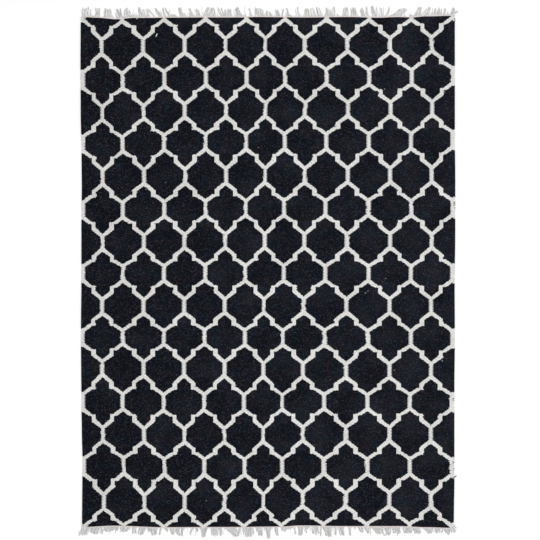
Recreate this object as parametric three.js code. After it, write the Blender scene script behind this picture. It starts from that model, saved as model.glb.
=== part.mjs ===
// A hand-woven kilim rug, lying flat: one woven wool field, a twined cotton heading cord across
// each end, and the warp ends beyond it as a fringe in uneven bunches.
// Millimetres. X runs across the rug, Y along the warps and Z up from the floor.
// The origin is on the floor under the middle of the rug.

import * as THREE from 'three';

const rug = {
  width: 1700, // selvedge to selvedge
  length: 2320, // heading to heading, without the fringe
  thickness: 4, // weft-faced wool on a cotton warp
  cornerCut: 3, // the woven corners are a little worn off, by this much across
  cornerLength: 12, // and by this much along the selvedge
};

const heading = {
  width: 5, // one twined pair of cotton yarns
  thickness: 4.4,
};

const fringe = {
  spine: 4, // the band where the warp ends leave the heading
  thickness: 2.6, // two or three yarns lying on each other
  bunchGap: 1.6, // space left between two bunches at their roots
};

const seam = 0.3; // clearance between pieces that touch
const edgeStep = 34; // length of one straight stretch along a woven edge

const halfWidth = rug.width / 2;
const halfLength = rug.length / 2;

// How far each edge lies inside (+) or outside (-) its straight line, read along the edge.
const leftSelvedge = [
  { along: -1160, inset: 3 },
  { along: -860, inset: 5 },
  { along: -720, inset: 2 },
  { along: -600, inset: 0 },
  { along: -280, inset: -2 },
  { along: -60, inset: 0 },
  { along: 200, inset: 0 },
  { along: 400, inset: 2 },
  { along: 520, inset: 1 },
  { along: 740, inset: -3 },
  { along: 960, inset: -4 },
  { along: 1160, inset: -3 },
];

const rightSelvedge = [
  { along: -1160, inset: 5 },
  { along: -1080, inset: 4 },
  { along: -960, inset: 2 },
  { along: -520, inset: 2 },
  { along: -300, inset: 0 },
  { along: -60, inset: 1 },
  { along: 170, inset: -2 },
  { along: 400, inset: -2 },
  { along: 640, inset: 0 },
  { along: 1160, inset: 0 },
];

const topEdge = [
  { along: -850, inset: -2 },
  { along: -780, inset: 2 },
  { along: -690, inset: 9 },
  { along: -610, inset: 3 },
  { along: -300, inset: 1 },
  { along: -120, inset: 1 },
  { along: -40, inset: -1 },
  { along: 60, inset: 0 },
  { along: 170, inset: 1 },
  { along: 370, inset: -1 },
  { along: 500, inset: 2 },
  { along: 590, inset: -1 },
  { along: 650, inset: 1 },
  { along: 720, inset: -4 },
  { along: 850, inset: -7 },
];

const bottomEdge = [
  { along: -850, inset: 0 },
  { along: -700, inset: 6 },
  { along: -480, inset: -1 },
  { along: -180, inset: 0 },
  { along: 60, inset: 2 },
  { along: 150, inset: 7 },
  { along: 350, inset: 4 },
  { along: 600, inset: 4 },
  { along: 720, inset: -1 },
  { along: 850, inset: -4 },
];

// Bunches of the fringe, from left to right. root and tip are the places across the rug where a
// bunch leaves the heading and where it ends. rootWidth and tipWidth are how wide it is there.
// reach is how far it lies beyond the woven edge.
const bunch = (root, rootWidth, tip, tipWidth, reach) => ({ root, rootWidth, tip, tipWidth, reach });

const topBunches = [
  bunch(-826, 40, -826, 36, 46),
  bunch(-778, 36, -777, 29, 42),
  bunch(-724, 43, -730, 24, 43),
  bunch(-680, 21, -692, 10, 40),
  bunch(-666, 8, -671, 8, 40),
  bunch(-645, 32, -647, 10, 46),
  bunch(-615, 26, -615, 22, 13),
  bunch(-575, 40, -584, 26, 47),
  bunch(-547, 9, -554, 6, 39),
  bunch(-526, 9, -540, 7, 38),
  bunch(-500, 16, -512, 7, 44),
  bunch(-475, 10, -481, 6, 45),
  bunch(-465, 8, -468, 5, 18),
  bunch(-454, 9, -467, 5, 45),
  bunch(-430, 26, -431, 20, 15),
  bunch(-397, 33, -405, 13, 44),
  bunch(-353, 27, -358, 20, 42),
  bunch(-322, 30, -325, 14, 39),
  bunch(-269, 52, -263, 32, 46),
  bunch(-216, 14, -226, 6, 44),
  bunch(-203, 10, -212, 9, 45),
  bunch(-178, 38, -181, 24, 39),
  bunch(-135, 43, -143, 12, 47),
  bunch(-101, 16, -101, 10, 16),
  bunch(-77, 14, -86, 7, 44),
  bunch(-42, 46, -44, 36, 42),
  bunch(2, 38, 1, 26, 31),
  bunch(44, 28, 39, 20, 36),
  bunch(66, 11, 65, 9, 39),
  bunch(86, 20, 85, 11, 44),
  bunch(104, 12, 101, 10, 13),
  bunch(138, 22, 132, 9, 48),
  bunch(175, 26, 173, 14, 42),
  bunch(197, 13, 194, 10, 47),
  bunch(211, 11, 205, 8, 45),
  bunch(229, 20, 225, 18, 47),
  bunch(267, 32, 267, 22, 44),
  bunch(297, 20, 297, 12, 48),
  bunch(321, 16, 318, 10, 16),
  bunch(352, 38, 352, 20, 47),
  bunch(391, 36, 387, 26, 45),
  bunch(431, 16, 425, 7, 45),
  bunch(454, 24, 449, 14, 48),
  bunch(481, 22, 475, 10, 52),
  bunch(518, 9, 517, 6, 49),
  bunch(540, 10, 553, 6, 51),
  bunch(593, 66, 616, 34, 44),
  bunch(651, 18, 652, 12, 15),
  bunch(683, 40, 694, 15, 47),
  bunch(722, 28, 731, 20, 45),
  bunch(780, 68, 783, 54, 42),
  bunch(823, 12, 822, 10, 14),
  bunch(839, 18, 850, 28, 44),
];

const bottomBunches = [
  bunch(-833, 30, -847, 38, 40),
  bunch(-793, 20, -797, 22, 35),
  bunch(-768, 24, -770, 24, 36),
  bunch(-726, 56, -730, 44, 23),
  bunch(-689, 16, -690, 14, 19),
  bunch(-652, 50, -656, 36, 24),
  bunch(-611, 16, -611, 14, 36),
  bunch(-574, 30, -583, 20, 37),
  bunch(-543, 18, -540, 12, 25),
  bunch(-524, 14, -524, 10, 42),
  bunch(-509, 12, -512, 8, 39),
  bunch(-491, 14, -493, 9, 38),
  bunch(-464, 18, -461, 6, 24),
  bunch(-437, 22, -434, 8, 38),
  bunch(-401, 40, -401, 32, 43),
  bunch(-352, 10, -362, 16, 42),
  bunch(-326, 21, -324, 10, 23),
  bunch(-294, 40, -294, 18, 48),
  bunch(-250, 24, -250, 24, 42),
  bunch(-222, 24, -220, 25, 43),
  bunch(-165, 48, -149, 22, 46),
  bunch(-131, 8, -133, 8, 44),
  bunch(-93, 50, -88, 48, 46),
  bunch(-41, 22, -38, 20, 42),
  bunch(2, 34, 3, 13, 52),
  bunch(37, 14, 42, 10, 43),
  bunch(72, 20, 73, 18, 23),
  bunch(99, 24, 97, 22, 14),
  bunch(117, 10, 124, 9, 37),
  bunch(147, 34, 146, 26, 40),
  bunch(171, 10, 176, 10, 32),
  bunch(213, 36, 215, 30, 34),
  bunch(239, 12, 237, 10, 43),
  bunch(267, 38, 277, 28, 46),
  bunch(309, 8, 309, 6, 41),
  bunch(334, 26, 340, 24, 42),
  bunch(373, 12, 374, 8, 40),
  bunch(422, 26, 430, 16, 27),
  bunch(450, 24, 457, 18, 30),
  bunch(497, 44, 510, 33, 35),
  bunch(538, 32, 544, 30, 41),
  bunch(582, 44, 586, 38, 32),
  bunch(634, 42, 638, 34, 31),
  bunch(677, 34, 686, 30, 34),
  bunch(727, 38, 737, 18, 31),
  bunch(771, 44, 772, 36, 30),
  bunch(812, 26, 819, 16, 34),
  bunch(840, 16, 847, 22, 27),
];

// The inset of an edge at one place along it, eased from each row of its table to the next.
function insetAt(edge, along) {
  const next = edge.findIndex((row) => row.along >= along);
  if (next <= 0) {
    return edge.at(next).inset;
  }
  const before = edge[next - 1];
  const after = edge[next];
  const part = (along - before.along) / (after.along - before.along);
  return THREE.MathUtils.lerp(before.inset, after.inset, THREE.MathUtils.smoothstep(part, 0, 1));
}

// Evenly spaced places from one end to the other, both included, about edgeStep apart.
function stations(from, to) {
  const count = Math.ceil(Math.abs(to - from) / edgeStep);
  return Array.from({ length: count + 1 }, (_, i) => THREE.MathUtils.lerp(from, to, i / count));
}

// The two end edges as heights above the rug's middle, the bottom one counted downwards.
const ends = {
  top: { edge: topEdge, side: 1, bunches: topBunches },
  bottom: { edge: bottomEdge, side: -1, bunches: bottomBunches },
};

function edgeReach(end, x) {
  return halfLength - insetAt(end.edge, x);
}

const acrossRug = stations(-halfWidth + rug.cornerCut, halfWidth - rug.cornerCut);

// A flat outline pulled up into a solid that stands on the floor.
function slab(points, thickness) {
  const outline = new THREE.Shape(points.map(([x, y]) => new THREE.Vector2(x, y)));
  return new THREE.ExtrudeGeometry(outline, { depth: thickness, bevelEnabled: false, steps: 1 });
}

// Points given in the top end's sense are mirrored to the bottom end, and their order is kept
// counter-clockwise.
function atEnd(end, points) {
  const placed = points.map(([x, y]) => [x, end.side * y]);
  return end.side > 0 ? placed : placed.reverse();
}

// The field: down the left selvedge, along the bottom edge, up the right selvedge and back.
function fieldGeometry() {
  const alongRug = stations(-halfLength + rug.cornerLength, halfLength - rug.cornerLength);
  const left = alongRug.map((y) => [-halfWidth + insetAt(leftSelvedge, y), y]).reverse();
  const right = alongRug.map((y) => [halfWidth - insetAt(rightSelvedge, y), y]);
  const bottom = acrossRug.map((x) => [x, -edgeReach(ends.bottom, x)]);
  const top = acrossRug.map((x) => [x, edgeReach(ends.top, x)]).reverse();
  return slab([...left, ...bottom, ...right, ...top], rug.thickness);
}

// The heading: a narrow strip that follows the woven edge at a seam's distance.
function headingGeometry(end) {
  const inner = acrossRug.map((x) => [x, edgeReach(end, x) + seam]);
  const outer = inner.map(([x, y]) => [x, y + heading.width]).reverse();
  return slab(atEnd(end, [...inner, ...outer]), heading.thickness);
}

// The fringe: a comb whose spine follows the heading and whose teeth are the bunches.
function fringeGeometry(end) {
  const spineStart = heading.width + 2 * seam;
  const inner = acrossRug.map((x) => [x, edgeReach(end, x) + spineStart]);
  const teeth = [];
  let free = acrossRug[0];
  for (const row of end.bunches) {
    const from = Math.max(row.root - row.rootWidth / 2, free);
    const to = Math.min(row.root + row.rootWidth / 2, acrossRug.at(-1));
    const tipReach = halfLength + row.reach;
    const rootReach = (x) => edgeReach(end, x) + spineStart + fringe.spine;
    teeth.push(
      [from, rootReach(from)],
      [row.tip - row.tipWidth / 2, tipReach],
      [row.tip + row.tipWidth / 2, tipReach],
      [to, rootReach(to)],
    );
    free = to + fringe.bunchGap;
  }
  return slab(atEnd(end, [...inner, ...teeth.reverse()]), fringe.thickness);
}

const woolField = new THREE.MeshStandardMaterial({ color: 0x1b1d23, roughness: 0.95, metalness: 0 });
const cottonHeading = new THREE.MeshStandardMaterial({ color: 0xdfd8d2, roughness: 0.9, metalness: 0 });
const cottonFringe = new THREE.MeshStandardMaterial({ color: 0xd7d6d3, roughness: 0.9, metalness: 0 });

function piece(name, geometry, material) {
  const mesh = new THREE.Mesh(geometry, material);
  mesh.name = name;
  return mesh;
}

const kilim = new THREE.Group();
kilim.add(piece('kilim_field', fieldGeometry(), woolField));
for (const [name, end] of Object.entries(ends)) {
  kilim.add(piece(`heading_${name}`, headingGeometry(end), cottonHeading.clone()));
  kilim.add(piece(`fringe_${name}`, fringeGeometry(end), cottonFringe.clone()));
}

export default kilim;
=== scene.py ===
import math

import bpy
import numpy as np
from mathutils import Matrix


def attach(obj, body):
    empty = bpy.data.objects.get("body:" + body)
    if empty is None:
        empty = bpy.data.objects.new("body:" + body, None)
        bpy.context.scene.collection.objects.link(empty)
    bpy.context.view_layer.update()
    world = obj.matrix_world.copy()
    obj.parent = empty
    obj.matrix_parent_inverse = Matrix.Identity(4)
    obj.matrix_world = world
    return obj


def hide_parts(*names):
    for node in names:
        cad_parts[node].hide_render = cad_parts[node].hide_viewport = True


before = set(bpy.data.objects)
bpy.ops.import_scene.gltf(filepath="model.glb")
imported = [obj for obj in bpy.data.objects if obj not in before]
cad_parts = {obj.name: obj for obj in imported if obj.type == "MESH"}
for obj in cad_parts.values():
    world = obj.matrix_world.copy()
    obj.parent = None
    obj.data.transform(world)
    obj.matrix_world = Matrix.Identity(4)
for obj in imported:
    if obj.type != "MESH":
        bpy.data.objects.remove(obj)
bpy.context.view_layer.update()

mm = 0.001
draws = np.random.default_rng(1907)  # every random number below comes from this one source


def colour(hexText):
    # sRGB hex to the linear colour that the shaders want
    s = np.array([int(hexText[i:i + 2], 16) / 255 for i in (1, 3, 5)])
    linear = np.where(s <= 0.04045, s / 12.92, ((s + 0.055) / 1.055) ** 2.4)
    return (*linear.tolist(), 1.0)


def newMaterial(name):
    # gives the material and a function that adds a node to it. Each input is a number, a colour,
    # a socket, or a node whose first output is meant, in order or in a dictionary by name or
    # place. stops are (place, hex colour) of a ramp, and points are (x, y) of a curve.
    material = bpy.data.materials.new(name)
    material.use_nodes = True
    tree = material.node_tree
    tree.nodes.clear()

    def add(kind, *inputs, stops=(), points=(), **settings):
        made = tree.nodes.new("ShaderNode" + kind)
        for key, value in settings.items():
            setattr(made, key, value)
        for i, (place, hexText) in enumerate(stops):
            elements = made.color_ramp.elements
            stop = elements[i] if i < 2 else elements.new(place)
            stop.position, stop.color = place, colour(hexText)
        if len(points):
            made.mapping.use_clip = False
            line = made.mapping.curves[0]
            line.points[0].location, line.points[1].location = points[0], points[-1]
            for place in points[1:-1]:
                line.points.new(*place)
            for point in line.points:
                point.handle_type = "VECTOR"
            made.mapping.update()
        named = inputs[0].items() if inputs and isinstance(inputs[0], dict) else enumerate(inputs)
        for key, value in named:
            value = value.outputs[0] if isinstance(value, bpy.types.Node) else value
            if isinstance(value, bpy.types.NodeSocket):
                tree.links.new(value, made.inputs[key])
            else:
                made.inputs[key].default_value = value
        return made

    return material, add


def newPiece(name, points, faces, material, attributes):
    # points is n by 3 in metres, faces a list of index lists, attributes name -> n by 3
    mesh = bpy.data.meshes.new(name)
    mesh.from_pydata(points.tolist(), [], faces)
    for key, values in attributes.items():
        layer = mesh.attributes.new(key, "FLOAT_VECTOR", "POINT")
        layer.data.foreach_set("vector", np.asarray(values, np.float32).ravel())
    mesh.shade_smooth()
    mesh.materials.append(material)
    made = bpy.data.objects.new(name, mesh)
    bpy.context.scene.collection.objects.link(made)
    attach(made, "root")
    print(name, len(faces), "faces")
    return made


def eased(table, along):
    # value of a two-column table at each place, eased from row to row with a smoothstep
    places = np.array([row[0] for row in table], float)
    values = np.array([row[1] for row in table], float)
    at = np.clip(along, places[0], places[-1])
    i = np.clip(np.searchsorted(places, at, "left") - 1, 0, len(places) - 2)
    t = (at - places[i]) / (places[i + 1] - places[i])
    return values[i] + (values[i + 1] - values[i]) * t * t * (3 - 2 * t)


# The rug's outline, in millimetres. Each edge table is (place along the edge, how far the edge
# lies inside its straight line).
rug = {
    "width": 1700, "length": 2320, "thickness": 4.0,
    "leftEdge": [(-1160, 3), (-860, 5), (-720, 2), (-600, 0), (-280, -2), (-60, 0), (200, 0),
                 (400, 2), (520, 1), (740, -3), (960, -4), (1160, -3)],
    "rightEdge": [(-1160, 5), (-1080, 4), (-960, 2), (-520, 2), (-300, 0), (-60, 1), (170, -2),
                  (400, -2), (640, 0), (1160, 0)],
    "topEdge": [(-850, -2), (-780, 2), (-690, 9), (-610, 3), (-300, 1), (-120, 1), (-40, -1),
                (60, 0), (170, 1), (370, -1), (500, 2), (590, -1), (650, 1), (720, -4), (850, -7)],
    "bottomEdge": [(-850, 0), (-700, 6), (-480, -1), (-180, 0), (60, 2), (150, 7), (350, 4),
                   (600, 4), (720, -1), (850, -4)],
}
halfWidth, halfLength = rug["width"] / 2, rug["length"] / 2


def outline(u, v):
    # u is -1 at the left selvedge and 1 at the right, v is -1 at the bottom end and 1 at the top.
    # The straight rectangle is pulled in by each edge's inset, fading linearly to the other edge.
    x, y = u * halfWidth, v * halfLength
    left, right = eased(rug["leftEdge"], y), eased(rug["rightEdge"], y)
    bottom, top = eased(rug["bottomEdge"], x), eased(rug["topEdge"], x)
    x = x + left * (1 - u) / 2 - right * (1 + u) / 2
    y = y + bottom * (1 - v) / 2 - top * (1 + v) / 2
    return x, y


# How the cloth lies on the floor, in mm: least height, what the soft waves and the edges' own waves
# add to it, and over how many mm each wave turns by one radian
laid = {"least": 0.2, "wave": 0.5, "waveOver": (190, 230), "edgeWave": 1.2,
        "edgeWaveOver": (260, 145)}


def lift(x, y):
    # height off the floor = least + wave * a product of two sines + edge wave * a sine, which
    # fades in with the sixth power of the way from the middle to the nearest edge
    edge = np.clip(np.maximum(np.abs(x) / halfWidth, np.abs(y) / halfLength), 0, 1) ** 6
    overX, overY = laid["waveOver"]
    edgeOverX, edgeOverY = laid["edgeWaveOver"]
    wave = 0.5 + 0.5 * np.sin(x / overX + 1.3) * np.sin(y / overY + 0.4)
    edgeWave = edge * (0.5 + 0.5 * np.sin(y / edgeOverY + x / edgeOverX))
    return laid["least"] + laid["wave"] * wave + laid["edgeWave"] * edgeWave


# The weave. Warps run lengthwise, wefts across. A bead is one pass of the weft over one warp, and
# neighbouring warps show their beads half a bead apart.
weave = {
    "warps": 405,             # 4.2 mm apart, six to the inch
    "bead": 3.375,            # mm along the warp, two picks of a doubled yarn
    "relief": 0.8,            # mm from a warp's crest down to the groove beside it
    "shoulder": 0.27,         # share of a warp from its groove to its flat crest
    "rim": 0.3,               # warps over which the selvedge is rounded off
    "rimDrop": 0.2,           # mm by which that rounding is lower than the cloth
    "rows": 38,               # cross sections, besides the closer ones near each end
    "rowsNearEnds": (9.0, 4.0, 1.5),  # mm from the end to those
    "bend": 0.5,              # mm by which warps and picks stray inside the cloth
    "bendOver": (97, 83),     # mm to one radian of those bends, for warps and for picks
    "bendSlowlyOver": (210, 260),  # and of the slower ones that the bends themselves follow
    "press": 0.8,             # mm by which the last wefts press into the heading
    "pressFades": 60,         # power of the way along the rug that confines this to the ends
    "thinner": 0.35,          # share of the thickness lost at the very end
    "thinnerOver": 3.0,       # mm over which it is lost
}
beadCount = rug["length"] / weave["bead"]
warpPitch = rug["width"] / weave["warps"]

# The lattice in warps and beads, measured on the photo. Half columns from left to right, by the
# warp that they stand on at the top end and at the bottom end. Half levels from bottom to top, by
# their bead row at the left, at a third, at two thirds and at the right, and by how many warps that
# row of bars has drifted to the right. Odd and even ones are the two kinds of bar. The first and
# the last of both tables lie beyond the rug's edges. The bead rows of the levels between them were
# fitted to the photo by a scratch program and rounded to half beads.
latticeColumns = [  # (top, bottom)
    (-21, -21), (1.5, 1.5), (22.5, 23), (44, 45), (67.5, 67.5), (89.5, 89), (112.5, 111),
    (135, 132.5), (157, 154.5), (179, 176), (200, 196.5), (220.5, 217), (243, 239.5),
    (265.5, 262.5), (289, 286.5), (311.5, 310), (335, 334), (357.5, 356.5), (380, 379.5),
    (402, 402), (424.5, 424),
]
latticeLevels = [  # (left, one third, two thirds, right, drift)
    (-7.5, -9, -7, -6, 0), (31, 32.5, 35, 35.5, 0.5), (83, 82, 80, 81, 0),
    (123.5, 123, 124, 125, 0), (168, 168, 167.5, 169, 0), (214, 214, 209, 211, 0),
    (255, 256, 254, 254, 0.5), (296.5, 298, 297.5, 298, 0), (342, 343, 341, 341.5, 0.5),
    (382.5, 386.5, 385, 385, 0), (427, 430, 430, 430, 0), (472, 473.5, 473.5, 474, 0),
    (517, 520.5, 520, 522, 0.5), (557.5, 562.5, 563, 564, 0.5), (602, 605.5, 607, 606.5, 1),
    (649, 650, 650, 650.5, 0), (694, 695, 694, 694.5, 0.5),
]

# The chart of one repeat, in beads up or down from the middle of an A bar, up being negative:
# the warps from the bar's line at which the off-white begins and ends. The next bars, B, stand 22.4
# warps aside and 44 beads up and down.
latticeChart = {
    "halfColumn": 22.4, "halfLevel": 44,
    "begins": [(-44, 20.4), (-35.6, 20.4), (-27.7, 12), (-27.4, 7.9), (-20.5, 7.9), (-12, 0),
               (-11.9, -2), (12.5, -2), (12.6, 0), (19.7, 7.8), (27.3, 7.8), (27.6, 11.9),
               (35, 20.4), (44, 20.4)],
    "ends": [(-44, 26), (-31.4, 26), (-31.3, 22.4), (-25.5, 15.8), (-25.3, 12.5), (-18, 12.5),
             (-8.2, 2), (7.8, 2), (18.5, 12.6), (24.3, 12.6), (24.5, 15), (31.2, 22.4),
             (31.3, 26), (44, 26)],
    "uprightFrom": 0.31,  # bars stand upright within this much of the middle of either level
    "teeth": 0.9,         # warps by which the two wools turn back by turns on an upright edge
    "wander": 0.6, "wanderSize": 38.16,  # warps by which the hand strays, and over how many mm
}

# How a bead is shaped and spun. Sizes are in mm, and the rest are shares of a bead or of its height.
beadShape = {
    "beatingSize": 69.96, "beating": 1.2,  # picks are beaten up closer or looser by so many beads
    "fullWidth": 1.02, "narrowing": 0.4,   # width in the middle, and what the ends lose
    "drop": 0.35,                          # how much lower the ends are
    "crease": 0.22, "creaseWidth": 0.22,   # between the two yarns of a pick
    "spinSlant": 0.7,                      # warps that a fibre runs aside in one bead
    "fibreLength": 1.908, "fibresToBead": 10, "fibreHeight": 0.3,
    "bump": 0.5, "bumpStrength": 0.8,
    "deepestPaintedShade": 0.6, "shade": 0.45,    # painted shade: light left in the groove, and what the crest has more
}

# The two wools. Colours run from the deepest to the palest, and how far along them a point lies is
# a sum: the level, then so much of each kind of unevenness. Sizes are in mm.
groundWool = {
    "colours": [(0.0, "#0c0d12"), (0.25, "#111218"), (1.0, "#42444d")],
    "level": 0.104, "rightPaintedSheen": 0.06,    # at the left selvedge, and the painted sheen that the right has more
    "cloudSize": 139.9, "cloud": 0.28, "fibre": 0.2,
    "speck": 2.1, "speckRarity": 20,       # strength of a paler yarn, and the power that thins them
    "streak": 3.6, "streakFrom": -0.8,     # contrast of the fibres in it, less a threshold
    "streakFadesAtEnds": 0.5,
    "hueSize": 52.47, "hueSwing": (1.3, 0.0, 0.6), "hueFrom": (0.33, 1.03, 0.78),  # red, green, blue
}
undyedWool = {
    "colours": [(0.0, "#c6c5c0"), (1.0, "#f8f7f5")],
    "level": -0.54, "yarn": 0.8, "fibre": 0.8, "cloud": 0.5,
    "leftPaintedShade": 0.13, "leftShare": 0.4,  # painted shade: the left two fifths grow darker towards the selvedge
}


def beadNodes(add):
    # Which warp and bead a point lies on, and where in the bead it is. The "loom" attribute counts
    # warps from the left and beads from the bottom, and every other warp is half a bead ahead.
    loomPlace = add("Attribute", attribute_name="loom").outputs["Vector"]
    loom = add("SeparateXYZ", loomPlace)
    warp = add("Math", loom.outputs[0], operation="FLOOR")
    odd = add("Math", warp, 2, operation="FLOORED_MODULO")
    beating = add("TexNoise", {"Vector": loomPlace, "Scale": warpPitch / beadShape["beatingSize"],
                               "Detail": 1.0}, noise_dimensions="2D")
    beating = add("Math", beating, 0.5, operation="SUBTRACT")
    beaten = add("Math", beating, beadShape["beating"], loom.outputs[1], operation="MULTIPLY_ADD")
    along = add("Math", odd, 0.5, beaten, operation="MULTIPLY_ADD")
    bead = add("Math", along, operation="FLOOR")
    # the bead's middle, where the outermost warp takes the wool of the one beside it
    middleX = add("Clamp", add("Math", warp, 0.5, operation="ADD"), 1.5, weave["warps"] - 1.5)
    middleY = add("Math", bead, 0.5, operation="ADD")
    middleY = add("Math", odd, -0.5, middleY, operation="MULTIPLY_ADD")
    return {
        "loomX": loom.outputs[0], "loomY": beaten, "warp": warp, "bead": bead,
        "across": add("Math", loom.outputs[0], warp, operation="SUBTRACT"),
        "along": add("Math", along, bead, operation="SUBTRACT"),
        "place": add("CombineXYZ", warp, bead), "middleX": middleX, "middleY": middleY}


def latticePlaceNodes(add, at):
    # The bead's middle as a place on the lattice: half columns across and half levels down. The
    # tables' four counts of a level are joined across the rug, and their two of a column along it.
    columns, levels = np.array(latticeColumns), np.array(latticeLevels)
    columnNumber = np.arange(-1, len(columns) - 1)
    levelNumber = np.arange(-1, len(levels) - 1)[::-1]  # even ones are A rows
    third = add("Math", at["middleX"], 3 / weave["warps"], operation="MULTIPLY")
    atFour = [add("FloatCurve", {"Value": at["middleY"]},
                  points=np.stack([levels[:, i], levelNumber], 1).tolist()) for i in range(4)]
    level = atFour[0]
    for i in (1, 2, 3):
        share = add("Math", third, i - 1, operation="SUBTRACT")
        level = add("Mix", {0: share, 2: level, 3: atFour[i]})
    drift = add("FloatCurve", {"Value": at["middleY"]}, points=levels[:, (1, 4)].tolist())
    onColumns = add("Math", at["middleX"], drift, operation="SUBTRACT")
    topColumn, bottomColumn = [
        add("FloatCurve", {"Value": onColumns},
            points=np.stack([columns[:, i], columnNumber], 1).tolist()) for i in (0, 1)]
    upTheRug = add("Math", at["middleY"], 1 / beadCount, operation="MULTIPLY")
    column = add("Mix", {0: upTheRug, 2: bottomColumn, 3: topColumn})
    # the weaver's hand strays a little
    stray = add("TexNoise", {"Vector": at["place"], "Scale": warpPitch / latticeChart["wanderSize"],
                             "Detail": 2.0, "Roughness": 0.6}, noise_dimensions="2D")
    stray = add("SeparateXYZ", stray.outputs["Color"])
    placed = []
    for i, (along, unit) in enumerate(((column, "halfColumn"), (level, "halfLevel"))):
        aside = add("Math", stray.outputs[i], 0.5, operation="SUBTRACT")
        placed.append(add("Math", aside, 2 * latticeChart["wander"] / latticeChart[unit], along,
                          operation="MULTIPLY_ADD"))
    return placed


def latticeNodes(add, at):
    # 1 on an off-white bead and 0 on the ground. fromA is 0 on an A row, -1 on the B row above it
    # and 1 on the B row below it. The bars stand upright near each row, and there the wools turn
    # back by turns from bead to bead. aside is the number of warps from the line of an A bar, and
    # the chart says between which two numbers of warps the off-white lies.
    column, level = latticePlaceNodes(add, at)
    fromA = add("Math", level, 1, -1, operation="WRAP")
    offMiddle = add("Math", add("Math", fromA, operation="ABSOLUTE"), 0.5, operation="SUBTRACT")
    upright = add("Math", add("Math", offMiddle, operation="ABSOLUTE"),
                  latticeChart["uprightFrom"], operation="GREATER_THAN")
    turn = add("Math", at["bead"], 2, operation="FLOORED_MODULO")
    turn = add("Math", add("Math", turn, 0.5, operation="SUBTRACT"), upright, operation="MULTIPLY")
    column = add("Math", turn, latticeChart["teeth"] / latticeChart["halfColumn"], column,
                 operation="MULTIPLY_ADD")
    aside = add("Math", add("Math", column, 1, operation="SUBTRACT"), 1, operation="PINGPONG")
    aside = add("Math", aside, latticeChart["halfColumn"], operation="MULTIPLY")
    beadsFromA = add("Math", fromA, latticeChart["halfLevel"], operation="MULTIPLY")
    begins = add("FloatCurve", {"Value": beadsFromA}, points=latticeChart["begins"])
    finishes = add("FloatCurve", {"Value": beadsFromA}, points=latticeChart["ends"])
    begun = add("Math", aside, begins, operation="GREATER_THAN")
    going = add("Math", finishes, aside, operation="GREATER_THAN")
    return add("Math", begun, going, operation="MULTIPLY")


def beadHeightNodes(add, at):
    # Nearness to a bead's ends, its height without fibres, and the fibres. The height is the square
    # root of 1 - (way to the side / width) ^ 2, less the crease between the two yarns of the pick,
    # less the drop towards both ends, where the bead is also narrower. Fibres slant with the spin.
    endOff = add("Math", at["across"], 2, -1, operation="MULTIPLY_ADD")
    ends = add("Math", add("Math", endOff, operation="ABSOLUTE"), 3, operation="POWER")
    sideOff = add("Math", at["along"], 2, -1, operation="MULTIPLY_ADD")
    sideOff = add("Math", sideOff, operation="ABSOLUTE")
    width = add("Math", ends, -beadShape["narrowing"], beadShape["fullWidth"],
                operation="MULTIPLY_ADD")
    body = add("Math", add("Math", sideOff, width, operation="DIVIDE"), 2, operation="POWER")
    body = add("Math", 1, body, operation="SUBTRACT", use_clamp=True)
    body = add("Math", body, 0.5, operation="POWER")
    crease = add("Math", sideOff, beadShape["creaseWidth"], operation="DIVIDE")
    crease = add("Math", 1, crease, operation="SUBTRACT", use_clamp=True)
    body = add("Math", crease, -beadShape["crease"], body, operation="MULTIPLY_ADD")
    body = add("Math", ends, -beadShape["drop"], body, operation="MULTIPLY_ADD", use_clamp=True)
    spin = add("Math", at["along"], beadShape["spinSlant"], at["loomX"], operation="MULTIPLY_ADD")
    spin = add("Math", spin, warpPitch / beadShape["fibreLength"], operation="MULTIPLY")
    sideways = add("Math", at["loomY"], beadShape["fibresToBead"], operation="MULTIPLY")
    fibres = add("TexNoise", {"Vector": add("CombineXYZ", spin, sideways), "Scale": 1.0,
                              "Detail": 3.0, "Roughness": 0.65}, noise_dimensions="2D")
    return ends, body, fibres


def groundNodes(add, at, ends, fibres, chance, cloud):
    # Near-black heather: every yarn takes its own share of paler fibre, the fibres lie in streaks
    # along it, and the dye is cloudy, browner in some places and bluer in others
    speck = add("Math", chance, groundWool["speckRarity"], operation="POWER")
    streak = add("Math", fibres, groundWool["streak"], groundWool["streakFrom"],
                 operation="MULTIPLY_ADD")
    streak = add("Math", ends, -groundWool["streakFadesAtEnds"], streak, operation="MULTIPLY_ADD")
    streak = add("Math", streak, 0.0, operation="MAXIMUM")
    pale = add("Math", fibres, groundWool["fibre"], -0.5 * groundWool["fibre"],
               operation="MULTIPLY_ADD")
    pale = add("Math", add("Math", speck, streak, operation="MULTIPLY"), groundWool["speck"], pale,
               operation="MULTIPLY_ADD")
    pale = add("Math", cloud, groundWool["cloud"], pale, operation="MULTIPLY_ADD")
    # painted sheen: the ground is painted paler towards the right selvedge
    level = add("Math", at["middleX"], groundWool["rightPaintedSheen"] / weave["warps"],
                groundWool["level"], operation="MULTIPLY_ADD")
    pale = add("Math", pale, level, operation="ADD")
    ground = add("ValToRGB", pale, stops=groundWool["colours"])
    hue = add("TexNoise", {"Vector": at["place"], "Scale": warpPitch / groundWool["hueSize"],
                           "Detail": 3.0, "Roughness": 0.6}, noise_dimensions="2D")
    hue = add("VectorMath", hue.outputs["Color"], groundWool["hueSwing"], groundWool["hueFrom"],
              operation="MULTIPLY_ADD")
    return add("Mix", {0: 1.0, 6: ground, 7: hue}, data_type="RGBA", blend_type="MULTIPLY")


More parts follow.
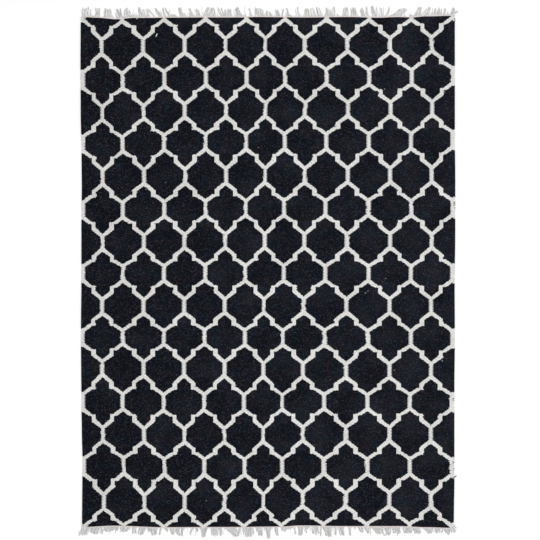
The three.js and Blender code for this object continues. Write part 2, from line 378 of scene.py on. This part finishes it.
def undyedNodes(add, at, fibres, chance, cloud):
    # Off-white: every yarn is a shade of its own, and the left side is painted darker as painted
    # shade
    left = add("Math", at["middleX"], 1 / (undyedWool["leftShare"] * weave["warps"]),
               operation="MULTIPLY", use_clamp=True)
    shade = add("Math", left, undyedWool["leftPaintedShade"], undyedWool["level"],
                operation="MULTIPLY_ADD")
    shade = add("Math", chance, undyedWool["yarn"], shade, operation="MULTIPLY_ADD")
    shade = add("Math", fibres, undyedWool["fibre"], shade, operation="MULTIPLY_ADD")
    shade = add("Math", cloud, undyedWool["cloud"], shade, operation="MULTIPLY_ADD")
    return add("ValToRGB", shade, stops=undyedWool["colours"])


def woolWeaveMaterial():
    # Hand-spun wool, weft-faced: matt, ribbed lengthwise, with a heather of paler fibres in the
    # near-black ground. Colour changes only between beads, so slanted edges run in small steps.
    material, add = newMaterial("handspun_wool_weft_faced_weave")
    at = beadNodes(add)
    offWhite = latticeNodes(add, at)
    ends, body, fibres = beadHeightNodes(add, at)
    height = add("Math", fibres, beadShape["fibreHeight"], body, operation="MULTIPLY_ADD")
    bump = add("Bump", {"Height": height, "Strength": beadShape["bumpStrength"],
                        "Distance": beadShape["bump"] * mm})

    # a number of its own for each of the two yarns of a pick, and the cloudiness of the dye bath
    secondYarn = add("Math", at["along"], 0.5, operation="GREATER_THAN")
    pick = add("Math", at["bead"], 2.0, secondYarn, operation="MULTIPLY_ADD")
    chance = add("TexWhiteNoise", {"Vector": add("CombineXYZ", at["warp"], pick)},
                 noise_dimensions="2D").outputs["Value"]
    cloud = add("TexNoise", {"Vector": at["place"], "Scale": warpPitch / groundWool["cloudSize"],
                             "Detail": 2.0}, noise_dimensions="2D")
    ground = groundNodes(add, at, ends, fibres, chance, cloud)
    undyed = undyedNodes(add, at, fibres, chance, cloud)
    wool = add("Mix", {0: offWhite, 6: ground.outputs[2], 7: undyed}, data_type="RGBA")
    # painted shade: the wool is painted darker between the beads, in the crease of a pick and towards
    # a bead's narrower ends, where shade falls
    paintedGrooveShade = add("Math", body, beadShape["shade"], beadShape["deepestPaintedShade"],
                operation="MULTIPLY_ADD", use_clamp=True)
    wool = add("Mix", {0: 1.0, 6: wool.outputs[2], 7: paintedGrooveShade}, data_type="RGBA",
               blend_type="MULTIPLY")
    shader = add("BsdfPrincipled", {
        "Base Color": wool.outputs[2], "Roughness": 0.95, "IOR": 1.5, "Normal": bump,
        "Specular IOR Level": 0.05})
    add("OutputMaterial", {"Surface": shader})
    return material


def loomAttribute(u, v):
    # warps counted from the left and beads from the bottom, for the weave's pattern
    place = np.stack([(u + 1) / 2 * weave["warps"], (v + 1) / 2 * beadCount, np.zeros_like(u)], -1)
    return {"loom": place.reshape(-1, 3)}


def buildField(material):
    # One closed section is carried along the warps. Going round it: the upper face with three
    # points to a rib (a groove, then two shoulders), the right selvedge as a half round, the
    # lower face with two points to a rib (a crest, then a groove), and the left selvedge.
    warps, relief, high = weave["warps"], weave["relief"], rug["thickness"]
    shoulder, rim = weave["shoulder"], weave["rim"]
    upperAt = (np.arange(warps)[:, None] + [0.0, shoulder, 1 - shoulder]).ravel()[1:]
    upperUp = np.tile([high - relief, high, high], warps)[1:]
    lowerAt = (np.arange(warps)[:, None] + [0.0, 0.5]).ravel()[:0:-1]
    lowerUp = np.tile([relief, 0.0], warps)[:0:-1]
    turn = np.radians([54, 18, -18, -54])
    rimOut = rim * np.cos(turn)
    rimUp = high / 2 + (high / 2 - weave["rimDrop"]) * np.sin(turn)
    sectionAt = np.concatenate([upperAt, warps - rim + rimOut, lowerAt, rim - rimOut[::-1]])
    sectionUp = np.concatenate([upperUp, rimUp, lowerUp, rimUp[::-1]])

    nearEnds = 1 - np.array(weave["rowsNearEnds"]) / halfLength
    v = np.unique(np.concatenate([np.linspace(-1, 1, weave["rows"]), nearEnds, -nearEnds]))
    u = sectionAt / warps * 2 - 1
    gridV, gridU = np.meshgrid(v, u, indexing="ij")
    x, y = outline(gridU, gridV)
    y = y + weave["press"] * np.sign(gridV) * np.abs(gridV) ** weave["pressFades"]
    # warps and picks bend a little, and not at all at the edges, which stay as drawn
    calm = weave["bend"] * (1 - gridU ** 6) * (1 - gridV ** 6)
    overX, overY = weave["bendOver"]
    slowX, slowY = weave["bendSlowlyOver"]
    bentX = x + calm * np.sin(y / overX + 2 * np.sin(x / slowX))
    bentY = y + calm * np.sin(x / overY + 2 * np.sin(y / slowY))
    towardsEnd = 1 + (np.abs(gridV) - 1) * halfLength / weave["thinnerOver"]
    thin = 1 - weave["thinner"] * np.clip(towardsEnd, 0, 1) ** 2
    z = high / 2 + (sectionUp[None, :] - high / 2) * thin + lift(x, y)
    points = np.stack([bentX, bentY, z], -1) * mm

    rows, around = gridV.shape
    ring = np.arange(around)
    after = (ring + 1) % around
    base = np.arange(rows - 1)[:, None] * around
    quads = np.stack([base + ring, base + around + ring, base + around + after, base + after], -1)
    faces = quads.reshape(-1, 4).tolist()
    # each end is closed by strips, one to a rib, and a strip at either side
    upper, lower = np.arange(len(upperAt)), len(upperAt) + 4 + np.arange(len(lowerAt))[::-1]
    rightRim, leftRim = len(upperAt) + np.arange(4), around - 4 + np.arange(4)
    strips = [[upper[-1], *rightRim, lower[-1]], [lower[0], *leftRim, upper[0]]]
    for k in range(warps):
        over, under = upper[max(3 * k - 1, 0):3 * k + 3], lower[max(2 * k - 1, 0):2 * k + 2]
        strips.append([*over, *under[::-1]])
    for start, way in ((0, 1), ((rows - 1) * around, -1)):
        faces += [[int(i) + start for i in strip[::way]] for strip in strips]
    made = newPiece("kilim_field_weave", points.reshape(-1, 3), faces, material,
                    loomAttribute(gridU, gridV))
    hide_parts("kilim_field")
    return made


def tubes(paths, radii, sides):
    # Round tubes along many paths at once. paths is tubes by steps by 3, radii tubes by steps.
    # Each ring is path + radius (cos a * sideways + sin a * upwards), with sideways level.
    ahead = np.gradient(paths, axis=1)
    ahead /= np.linalg.norm(ahead, axis=-1, keepdims=True)
    sideways = np.cross(ahead, [0.0, 0.0, 1.0])
    sideways /= np.maximum(np.linalg.norm(sideways, axis=-1, keepdims=True), 1e-9)
    upwards = np.cross(sideways, ahead)
    a = np.linspace(0, 2 * math.pi, sides, endpoint=False)
    ring = np.cos(a)[:, None] * sideways[:, :, None] + np.sin(a)[:, None] * upwards[:, :, None]
    points = paths[:, :, None] + radii[:, :, None, None] * ring
    count, steps = paths.shape[:2]
    first = (np.arange(count)[:, None, None] * steps + np.arange(steps - 1)[:, None]) * sides
    i = np.arange(sides)
    j = (i + 1) % sides
    quads = np.stack([first + i, first + j, first + sides + j, first + sides + i], -1)
    start = np.arange(count)[:, None] * steps * sides
    faces = quads.reshape(-1, 4).tolist() + (start + i[::-1]).tolist()
    faces += (start + (steps - 1) * sides + i).tolist()
    return points.reshape(-1, 3), faces


def yarnAttributes(paths, sides):
    # "yarn": millimetres along the yarn, then the cosine and sine of the way round it, and
    # "lot": a number of its own for each yarn, 0 to 1
    count, steps = paths.shape[:2]
    pieces = np.linalg.norm(np.diff(paths, axis=1), axis=-1) / mm
    along = np.concatenate([np.zeros((count, 1)), np.cumsum(pieces, 1)], 1)
    a = np.linspace(0, 2 * math.pi, sides, endpoint=False)
    shape = (count, steps, sides)
    yarn = np.stack([np.broadcast_to(along[:, :, None], shape), np.broadcast_to(np.cos(a), shape),
                     np.broadcast_to(np.sin(a), shape)], -1)
    own = np.broadcast_to(draws.uniform(0, 1, (count, 1, 1)), shape)
    lot = np.stack([own, np.zeros(shape), np.zeros(shape)], -1)
    return {"yarn": yarn.reshape(-1, 3), "lot": lot.reshape(-1, 3)}


# Spun yarns by material: darkest and lightest shade, mm to one turn of the twist, depth of the plies
yarnLooks = {
    "twined_undyed_cotton_cord": {
        "dark": "#d3c2c0", "light": "#f3e6e4", "twist": 3.0, "plies": 0.5},
    "loose_undyed_cotton_yarn": {
        "dark": "#b3b3b2", "light": "#e9e9e8", "twist": 4.0, "plies": 0.35},
    # painted shade: a darker copy of the loose cotton yarn, for the bottom end's fringe
    "loose_undyed_cotton_yarn_painted_shade": {
        "dark": "#a8a7a8", "light": "#e4e4e5", "twist": 4.0, "plies": 0.35},
    "stray_undyed_wool": {
        "dark": "#b9b6b0", "light": "#e9e7e2", "twist": 5.0, "plies": 0.3},
    "stray_near_black_wool": {
        "dark": "#15171c", "light": "#30333a", "twist": 5.0, "plies": 0.3},
}

# What all of them share. Sizes and the bump are in mm, and the cast is a tint in red, green and blue.
yarnSurface = {
    "mottleSize": 3.3333, "mottle": 0.7, "pliesPaintedShade": 0.3,
    "bump": 0.3, "bumpStrength": 0.7,
    "castSize": 62.5, "castSwing": (0.16, 0.0, 0.2), "castFrom": (0.925, 1.0, 0.895),
}


def yarnMaterial(name):
    # Loosely spun cotton or wool: matt, each yarn a shade of its own, with its plies winding round
    # it, and a trifle warmer in some places than in others
    look = yarnLooks[name]
    material, add = newMaterial(name)
    yarn = add("SeparateXYZ", add("Attribute", attribute_name="yarn").outputs["Vector"])
    lot = add("SeparateXYZ", add("Attribute", attribute_name="lot").outputs["Vector"])
    place = add("TexCoord").outputs["Object"]
    mottle = add("TexNoise", {"Vector": place, "Scale": 1 / (yarnSurface["mottleSize"] * mm),
                              "Detail": 3.0})
    # helix = sin(turns per mm * length) * cos(way round) + cos(same) * sin(way round)
    phase = add("Math", yarn.outputs[0], 2 * math.pi / look["twist"], operation="MULTIPLY")
    first = add("Math", add("Math", phase, operation="SINE"), yarn.outputs[1], operation="MULTIPLY")
    helix = add("Math", add("Math", phase, operation="COSINE"), yarn.outputs[2], first,
                operation="MULTIPLY_ADD")
    height = add("Math", helix, look["plies"], mottle, operation="MULTIPLY_ADD")
    bump = add("Bump", {"Height": height, "Strength": yarnSurface["bumpStrength"],
                        "Distance": yarnSurface["bump"] * mm})
    shade = add("Math", mottle, yarnSurface["mottle"], lot.outputs[0], operation="MULTIPLY_ADD")
    # painted shade: the grooves between the plies are painted darker and their crowns lighter
    shade = add("Math", helix, look["plies"] * yarnSurface["pliesPaintedShade"], shade,
                operation="MULTIPLY_ADD")
    tint = add("ValToRGB", shade, stops=[(0.2, look["dark"]), (1.0, look["light"])])
    cast = add("TexNoise", {"Vector": place, "Scale": 1 / (yarnSurface["castSize"] * mm),
                            "Detail": 2.0})
    cast = add("VectorMath", cast.outputs["Color"], yarnSurface["castSwing"],
               yarnSurface["castFrom"], operation="MULTIPLY_ADD")
    tint = add("Mix", {0: 1.0, 6: tint, 7: cast}, data_type="RGBA", blend_type="MULTIPLY")
    shader = add("BsdfPrincipled", {
        "Base Color": tint.outputs[2], "Roughness": 0.9, "IOR": 1.5, "Normal": bump,
        "Specular IOR Level": 0.2, "Sheen Weight": 0.05, "Sheen Roughness": 0.5})
    add("OutputMaterial", {"Surface": shader})
    return material


# Bunches of the fringe from left to right, in millimetres: where a bunch leaves the heading and how
# wide it is there, where it ends and how wide it is there, and how far it lies beyond the edge.
topBunches = [
    (-826, 40, -826, 36, 46), (-778, 36, -777, 29, 42), (-724, 43, -730, 24, 43),
    (-680, 21, -692, 10, 40), (-666, 8, -671, 8, 40), (-645, 32, -647, 10, 46),
    (-615, 26, -615, 22, 13), (-575, 40, -584, 26, 47), (-547, 9, -554, 6, 39),
    (-526, 9, -540, 7, 38), (-500, 16, -512, 7, 44), (-475, 10, -481, 6, 45),
    (-465, 8, -470, 6, 18), (-454, 9, -467, 5, 45), (-430, 26, -431, 20, 15),
    (-397, 33, -405, 13, 44), (-353, 27, -358, 20, 42), (-322, 30, -325, 14, 39),
    (-269, 52, -263, 32, 46), (-216, 14, -226, 6, 44), (-203, 10, -212, 9, 45),
    (-178, 38, -181, 24, 39), (-135, 43, -143, 12, 47), (-101, 16, -101, 10, 16),
    (-77, 14, -86, 7, 44), (-42, 46, -44, 36, 42), (2, 38, 1, 26, 31), (44, 28, 39, 20, 36),
    (66, 11, 65, 9, 39), (86, 20, 85, 11, 44), (104, 12, 101, 10, 13), (138, 22, 132, 9, 48),
    (175, 26, 173, 14, 42), (197, 13, 194, 10, 47), (211, 11, 205, 8, 45), (229, 20, 225, 18, 47),
    (267, 32, 267, 22, 44), (297, 20, 297, 12, 48), (321, 16, 318, 10, 16),
    (352, 38, 352, 20, 47), (391, 36, 387, 26, 45), (431, 16, 425, 7, 45), (454, 24, 449, 14, 48),
    (481, 22, 475, 10, 52), (518, 9, 517, 6, 49), (540, 10, 553, 6, 51), (593, 66, 616, 34, 44),
    (651, 18, 652, 12, 15), (683, 40, 694, 15, 47), (722, 28, 731, 20, 45),
    (780, 68, 783, 54, 42), (823, 12, 822, 10, 14), (838, 24, 843, 20, 47), (846, 14, 862, 13, 32),
]
bottomBunches = [
    (-833, 30, -847, 38, 40), (-793, 20, -797, 22, 35), (-768, 24, -770, 24, 36),
    (-726, 56, -730, 44, 23), (-689, 16, -690, 14, 19), (-652, 50, -656, 36, 24),
    (-611, 16, -611, 14, 36), (-574, 30, -583, 20, 37), (-543, 18, -540, 12, 25),
    (-524, 14, -524, 10, 42), (-509, 12, -512, 8, 39), (-491, 14, -493, 9, 38),
    (-464, 18, -461, 6, 24), (-437, 22, -434, 8, 38), (-401, 40, -401, 32, 43),
    (-352, 10, -362, 16, 42), (-326, 21, -324, 10, 23), (-294, 40, -294, 18, 48),
    (-250, 24, -250, 24, 42), (-222, 24, -220, 25, 43), (-165, 48, -147, 26, 46),
    (-131, 8, -133, 8, 44), (-93, 50, -88, 48, 46), (-41, 22, -38, 20, 42), (2, 34, 3, 13, 52),
    (37, 14, 42, 10, 43), (72, 20, 73, 18, 23), (99, 24, 97, 22, 14), (117, 10, 124, 9, 37),
    (147, 34, 146, 26, 40), (171, 10, 176, 10, 32), (213, 36, 215, 30, 34), (239, 12, 237, 10, 43),
    (267, 38, 277, 28, 46), (309, 8, 309, 6, 41), (334, 26, 340, 24, 42), (373, 12, 374, 8, 40),
    (422, 26, 430, 16, 27), (450, 24, 457, 18, 30), (497, 44, 511, 34, 35), (538, 32, 544, 30, 41),
    (582, 44, 586, 38, 32), (634, 42, 638, 34, 31), (677, 34, 686, 30, 34), (727, 38, 737, 18, 31),
    (771, 44, 772, 36, 30), (812, 26, 819, 16, 34), (840, 16, 847, 22, 27),
]

# Strands that lie apart from the bunches: root, tip, reach, and how many pairs of yarns
topStrays = [
    (-838, -843, 48, 3), (-632, -634, 37, 3), (-610, -614, 38, 1), (-440, -450, 40, 1),
    (-378, -383, 21, 3), (-297, -303, 49, 2), (-190, -197, 42, 2), (-182, -183, 45, 3),
    (-104, -104, 49, 1), (-57, -58, 49, 3), (-44, -45, 46, 2), (285, 283, 40, 2),
    (488, 487, 38, 2), (494, 495, 50, 2), (507, 508, 49, 1), (523, 527, 49, 1), (747, 749, 45, 1),
    (731, 738, 50, 3), (802, 806, 44, 3), (779, 779, 46, 3),
]
bottomStrays = [
    (-803, -810, 30, 3), (-421, -422, 26, 2), (-338, -340, 41, 1), (-328, -330, 42, 1),
    (-243, -241, 48, 3), (-128, -122, 46, 1), (-29, -26, 46, 2), (-460, -460, 25, 2),
    (585, 589, 39, 3), (222, 222, 42, 2), (464, 466, 37, 2), (601, 603, 34, 2), (823, 822, 38, 4),
]
ends = {"top": (1, topBunches, topStrays), "bottom": (-1, bottomBunches, bottomStrays)}


def endEdge(side, x):
    # how far the woven edge lies from the rug's middle at x, counted towards this end
    return side * outline(np.asarray(x) / halfWidth, np.full(np.shape(x), float(side)))[1]


heading = {
    "radius": 1.2,     # mm, of each yarn
    "twist": 1.05,     # mm, of the helix that each follows
    "turn": 8.4,       # mm to one full turn
    "out": 2.8,        # mm from the woven edge to the middle of the cord
    "up": 2.2,         # mm from the floor to it
    "steps": 8, "sides": 6,
}


def buildHeading(name, material):
    # Two cotton yarns twined along the woven edge. Each is a helix round a line that follows it:
    # twist * cos(turn) outwards and twist * sin(turn) upwards, half a turn apart.
    side = ends[name][0]
    count = int(rug["width"] / heading["turn"] * heading["steps"])
    x = np.linspace(-halfWidth + 3, halfWidth - 3, count)
    middle = endEdge(side, x) + heading["out"]
    turn = 2 * math.pi * (x + halfWidth) / heading["turn"]
    paths = []
    for start in (0, math.pi):
        y = middle + heading["twist"] * np.cos(turn + start)
        z = heading["up"] + lift(x, side * middle) + heading["twist"] * np.sin(turn + start)
        paths.append(np.stack([x, side * y, z], -1))
    paths = np.array(paths) * mm
    sides = heading["sides"]
    points, faces = tubes(paths, np.full(paths.shape[:2], heading["radius"] * mm), sides)
    made = newPiece(f"heading_{name}_twine", points, faces, material, yarnAttributes(paths, sides))
    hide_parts(f"heading_{name}")
    return made


fringe = {
    "strand": {"top": 9.3, "bottom": 6.9},  # mm between strands at the heading, about two warps
    "strandYarns": 11,
    "slant": 0.8,      # how much further the strands start against their bunch's own slant
    "rootShift": 0.22, "tipShift": 0.4,  # how far a strand strays at either end, in its own widths
    "longest": 1.04, "shorter": 0.08, "sideShorter": 0.1,  # shares of the bunch's reach
    "loose": {"top": 5.5, "bottom": 3.4},   # mm between the loose ends among them
    "looseWidth": 2.0, "looseYarns": 2, "looseLength": (0.4, 1.04),
    "looseSpread": (0.69, 0.46),  # of the tip's width: as at the root, and by chance
    "looseTips": 2.5,  # mm by which they stray besides
    "straysWidth": 5.0,
    "stub": {"count": 280, "least": 6, "more": 9, "most": 38, "lean": 9, "width": 3.0},
    "radius": 0.6, "steps": 7, "sides": 4,
    "from": 3.2,       # mm beyond the woven edge, inside the heading
    "bow": 2.2,        # mm by which a strand bows sideways
    "winding": 3,      # radians by which it winds, either way
    "gathers": 0.35,   # share of its length over which its yarns draw together
    "packing": 1.15,   # how far a yarn lies from its strand's middle, in yarns
    "fans": 1.3,       # mm by which single yarns stray at the tip
    "yarnLength": (0.84, 1.07), "yarnSize": (0.8, 1.15), "taper": 0.35,
}
goldenTurn = 0.618     # of a turn from yarn to yarn, which spreads them evenly over a strand

# Corner tufts that have slipped on to the cloth: side, root, width there, how far beyond the woven
# edge it begins, tip and reach
cornerTufts = [("top", -840, 12, -13, -838, 34), ("top", -833, 10, -5, -830, 38),
               ("bottom", -841, 14, -9, -852, 36), ("bottom", -824, 14, -7, -836, 36),
               ("bottom", 847, 8, -13, 857, 8), ("bottom", 842, 6, -5, 848, 28)]


def strandYarns(side, strands, yarns):
    # Every row of strands is (root, width at the root, how far beyond the woven edge it begins,
    # tip, reach). Its yarns leave the heading side by side over that width, draw together into a
    # loose rope that winds slowly, fan out again towards the tip, and drop from the heading's
    # height to the floor.
    root, width, begin, tip, reach = np.repeat(strands, yarns, axis=0).T[:, :, None]
    bow, winding = [np.repeat(v, yarns)[:, None] for v in
                    (draws.normal(0, fringe["bow"], len(strands)),
                     draws.uniform(-fringe["winding"], fringe["winding"], len(strands)))]
    count = len(root)
    number = (np.tile(np.arange(yarns), len(strands))[:, None] + 0.5) / yarns
    s = np.linspace(0, 1, fringe["steps"])[None, :]
    reach = reach * draws.uniform(*fringe["yarnLength"], (count, 1))
    together = np.minimum(s / fringe["gathers"], 1) ** 0.8
    turn = 2 * math.pi * number * goldenTurn * yarns + winding * s
    rope = fringe["packing"] * fringe["radius"] * np.sqrt(number * yarns)
    rootX = np.clip(root + width * (number - 0.5), -halfWidth + 1, halfWidth - 1)
    # the strand leans over early on its way and bows, and the rope flattens towards the tip
    middle = root + (tip - root) * (s + 0.3 * s * (1 - s)) + bow * np.sin(math.pi * s)
    loose = draws.normal(0, fringe["fans"], (count, 1)) * s ** 2
    x = middle + (1 - together) * (rootX - root) + together * rope * np.cos(turn) + loose
    edge = endEdge(side, rootX)
    start = edge + begin
    y = start + (halfLength + reach - start) * s
    layer = fringe["radius"] + rope * (1 + np.sin(turn)) * (0.6 - 0.3 * s)
    high = heading["up"] + lift(rootX, side * start)
    onCloth = (rug["thickness"] + layer + lift(rootX, side * start)) * (y < edge + fringe["from"])
    z = np.maximum(layer + np.maximum(high - layer, 0) * (1 - s) ** 3, onCloth)
    size = draws.uniform(*fringe["yarnSize"], (count, 1))
    radii = fringe["radius"] * mm * (1 - fringe["taper"] * s ** 4) * size
    return np.stack([x, side * y, z], -1) * mm, radii


def buildFringe(name, material):
    # every bunch of the table is parted into strands with loose ends among them, and short stubs
    # stand all along the heading
    side, bunches, strays = ends[name]
    begin = fringe["from"]
    strands = [row[1:] for row in cornerTufts if row[0] == name]
    thin = []
    for root, rootWidth, tip, tipWidth, reach in bunches:
        root -= fringe["slant"] * (tip - root)
        count = max(1, round(rootWidth / fringe["strand"][name]))
        place = np.arange(count) + 0.5 + draws.normal(0, fringe["rootShift"], count)
        place = place / count - 0.5
        tipPlace = place + draws.normal(0, fringe["tipShift"], count) / count
        shorter = np.abs(draws.normal(0, fringe["shorter"], count))
        shorter = shorter + fringe["sideShorter"] * np.abs(2 * place) ** 3
        strands += np.stack([
            root + rootWidth * place, np.full(count, rootWidth / count), np.full(count, begin),
            tip + tipWidth * tipPlace, reach * (fringe["longest"] - shorter)], 1).tolist()
        count = max(1, round(rootWidth / fringe["loose"][name]))
        place, chance = draws.uniform(-0.5, 0.5, (2, count))
        asRoot, byChance = fringe["looseSpread"]
        tipPlace = tipWidth * (asRoot * place + byChance * chance)
        tipPlace = tipPlace + draws.normal(0, fringe["looseTips"], count)
        thin += np.stack([
            root + rootWidth * place, np.full(count, fringe["looseWidth"]), np.full(count, begin),
            tip + tipPlace, reach * draws.uniform(*fringe["looseLength"], count)], 1).tolist()
    for root, tip, reach, pairs in strays:
        thin += [(root, fringe["straysWidth"], begin, tip + k - (pairs - 1) / 2, reach)
                 for k in range(pairs)]
    table, stub = np.array(bunches, float), fringe["stub"]
    root = draws.uniform(-halfWidth + 3, halfWidth - 3, stub["count"])
    reach = np.minimum(stub["least"] + draws.exponential(stub["more"], len(root)), stub["most"])
    lean = np.interp(root, table[:, 0], table[:, 2] - table[:, 0])
    lean = lean + draws.normal(0, stub["lean"], len(root))
    thin += np.stack([root, np.full(len(root), stub["width"]), np.full(len(root), begin),
                      root + lean * reach / stub["most"], reach], 1).tolist()
    paths, radii = [np.concatenate(both) for both in
                    zip(strandYarns(side, np.array(strands), fringe["strandYarns"]),
                        strandYarns(side, np.array(thin), fringe["looseYarns"]))]
    points, faces = tubes(paths, radii, fringe["sides"])
    made = newPiece(f"fringe_{name}_warp_ends", points, faces, material,
                    yarnAttributes(paths, fringe["sides"]))
    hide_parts(f"fringe_{name}")
    return made


selvedge = {
    "radius": 0.8,     # mm, of the yarn
    "round": 1.7,      # mm, of its turn round the outermost warp
    "in": 1.3,         # mm from the edge in to the middle of that turn
    "turn": 112,       # degrees of the turn above and below the middle of the cloth
    "lead": 0.5,       # mm by which a turn runs ahead above and lags below
    "steps": 6, "sides": 5,
}


def buildSelvedge(name, side, material):
    # The wefts turn back round the outermost warp: a half ring for each yarn of each pick. Its
    # places are round * cos(angle) outwards and round * sin(angle) upwards from the edge.
    number = (np.arange(int(2 * beadCount) - 4) + 2.5) / (2 * beadCount)
    v = number[:, None] * 2 - 1 + draws.normal(0, 0.0001, (len(number), 1))
    angle = np.radians(np.linspace(selvedge["turn"], -selvedge["turn"], selvedge["steps"]))[None, :]
    u = np.full(v.shape, float(side))
    x, y = outline(u, v)
    ring = selvedge["round"] * (1 + draws.normal(0, 0.03, v.shape))
    ringX = x + side * (ring * np.cos(angle) - selvedge["in"])
    ringY = y + selvedge["lead"] * np.sin(angle) + np.zeros_like(ringX)
    ringZ = rug["thickness"] / 2 + ring * np.sin(angle) + lift(x, y)
    paths = np.stack([ringX, ringY, ringZ], -1) * mm
    sides = selvedge["sides"]
    points, faces = tubes(paths, np.full(ringX.shape, selvedge["radius"] * mm), sides)
    shape = (*ringX.shape, sides)
    lastWarp = np.broadcast_to(u[:, :, None] * (1 - 1 / weave["warps"]), shape)
    made = newPiece(f"selvedge_{name}_turns", points, faces, material,
                    loomAttribute(lastWarp, np.broadcast_to(v[:, :, None], shape)))
    return made


# Stray bits of yarn on the face: place, length and thickness in mm, and lean in degrees
paleNeps = [
    (-507, 1080, 15, 5.0, 72), (-510, 1075, 7, 3.6, 40), (-597, 1154, 8, 3.0, 10),
    (-556, 377, 6, 2.0, 75), (536, -29, 5, 1.9, 20), (455, -86, 4, 2.6, 50), (447, -93, 9, 0.9, 40),
    (442, -96, 4, 2.0, 10), (575, -446, 4, 2.2, 80), (793, -404, 7, 2.0, 80), (804, 820, 5, 2.4, 30),
    (-282, -1041, 4, 1.8, 0), (-467, 407, 4, 1.3, 90), (-44, 568, 4, 1.8, 10),
    (531, 834, 5, 1.6, 80),
]
darkNeps = [
    (461, 893, 4, 1.6, 80), (-209, -701, 5, 1.6, 10), (-192, -721, 4, 1.8, 40),
    (852, -932, 14, 4.4, 26), (846, -937, 11, 3.0, 30), (849, 1154, 9, 2.4, 5),
    (851, 1149, 9, 2.2, -60),
]
nep = {"yarns": 3, "winding": 2.2, "length": (0.75, 1.15), "bow": 0.4, "steps": 7, "sides": 7}


def buildNeps(name, table, material):
    # each is short yarns wound round each other, thinner at both ends, with a slight bow: way
    # across = bow * (1 - s ^ 2) + a quarter of the width * cos(winding), s from -1 to 1
    yarns = nep["yarns"]
    x, y, length, width, lean = np.repeat(np.array(table, float), yarns, axis=0).T[:, :, None]
    s = np.linspace(-1, 1, nep["steps"])[None, :]
    lean = np.radians(lean)
    wound = 2 * math.pi / yarns * (np.arange(len(x)) % yarns)[:, None] + nep["winding"] * s
    length = length * draws.uniform(*nep["length"], x.shape)
    across = nep["bow"] * (1 - s * s) + width / 4 * np.cos(wound)
    px = x + length / 2 * s * np.cos(lean) - across * np.sin(lean)
    py = y + length / 2 * s * np.sin(lean) + across * np.cos(lean)
    pz = rug["thickness"] + lift(px, py) + 0.1 + width / 4 * (1 - s * s) * (1 + np.sin(wound))
    paths = np.stack([px, py, pz], -1) * mm
    radii = width / 3.6 * mm * np.sqrt(1.05 - s * s)
    points, faces = tubes(paths, radii, nep["sides"])
    made = newPiece(name, points, faces, material, yarnAttributes(paths, nep["sides"]))
    return made


woolWeave = woolWeaveMaterial()
spun = {name: yarnMaterial(name) for name in yarnLooks}
# the bottom fringe takes the darker copy of the same cotton, as painted shade
fringeYarn = {"top": spun["loose_undyed_cotton_yarn"],
              "bottom": spun["loose_undyed_cotton_yarn_painted_shade"]}
print("materials made:", 1 + len(spun))

field = buildField(woolWeave)
headings = [buildHeading(name, spun["twined_undyed_cotton_cord"]) for name in ends]
fringes = [buildFringe(name, fringeYarn[name]) for name in ends]
selvedges = [buildSelvedge("left", -1, woolWeave), buildSelvedge("right", 1, woolWeave)]
buildNeps("pale_stray_yarns", paleNeps, spun["stray_undyed_wool"])
buildNeps("dark_stray_yarns", darkNeps, spun["stray_near_black_wool"])

# Studio: a white floor, an even sky and a large soft lamp high above, in metres and watts, with
# the grain of the paper in mm
studio = {"floor": "#fbfbfb", "floorHalf": 30, "floorBelow": 0.0003, "grain": 25, "sky": 0.64,
          "lampPower": 370.0, "lampSize": 4.0, "lampAt": (1.2, -0.6, 9.0)}
floorMesh = bpy.data.meshes.new("studio_floor")
half = studio["floorHalf"]
corners = [(-half, -half), (half, -half), (half, half), (-half, half)]
floorMesh.from_pydata([(x, y, -studio["floorBelow"]) for x, y in corners], [], [(0, 1, 2, 3)])
floor = bpy.data.objects.new("studio_floor", floorMesh)
bpy.context.scene.collection.objects.link(floor)
paper, add = newMaterial("matt_white_paper")  # no gloss, and a grain that hardly shows
grain = add("TexNoise", {"Vector": add("TexCoord").outputs["Object"],
                         "Scale": 1 / (studio["grain"] * mm)})
whites = add("ValToRGB", grain, stops=[(0.0, studio["floor"]), (1.0, "#ffffff")])
add("OutputMaterial", {"Surface": add("BsdfPrincipled", {
    "Base Color": whites, "Roughness": 1.0, "Specular IOR Level": 0.0})})
floorMesh.materials.append(paper)

world = bpy.data.worlds.new("studio_sky")
world.use_nodes = True
world.node_tree.nodes["Background"].inputs["Color"].default_value = (1, 1, 1, 1)
world.node_tree.nodes["Background"].inputs["Strength"].default_value = studio["sky"]
bpy.context.scene.world = world

lampData = bpy.data.lights.new("soft_lamp", "AREA")
lampData.shape, lampData.size = "DISK", studio["lampSize"]
lampData.energy = studio["lampPower"]
lamp = bpy.data.objects.new("soft_lamp", lampData)
lamp.location = studio["lampAt"]
lampX, lampY, lampZ = studio["lampAt"]  # it looks at the middle of the rug
lamp.rotation_euler = (math.atan2(math.hypot(lampX, lampY), lampZ), 0, math.atan2(lampX, -lampY))
bpy.context.scene.collection.objects.link(lamp)

# Camera straight above. The photograph is square and its side covers 2461 mm of floor.
view = {"covers": 2.461, "lens": 120.0, "sensor": 36.0, "over": (0.0086, 0.0095), "farthest": 100}
cameraData = bpy.data.cameras.new("camera")
cameraData.lens, cameraData.sensor_width = view["lens"], view["sensor"]
cameraData.clip_end = view["farthest"]
camera = bpy.data.objects.new("camera", cameraData)
camera.location = (*view["over"], view["covers"] * view["lens"] / view["sensor"])
bpy.context.scene.collection.objects.link(camera)
bpy.context.scene.camera = camera
bpy.context.scene.view_settings.view_transform = "Standard"
print("studio, lamp and camera placed")
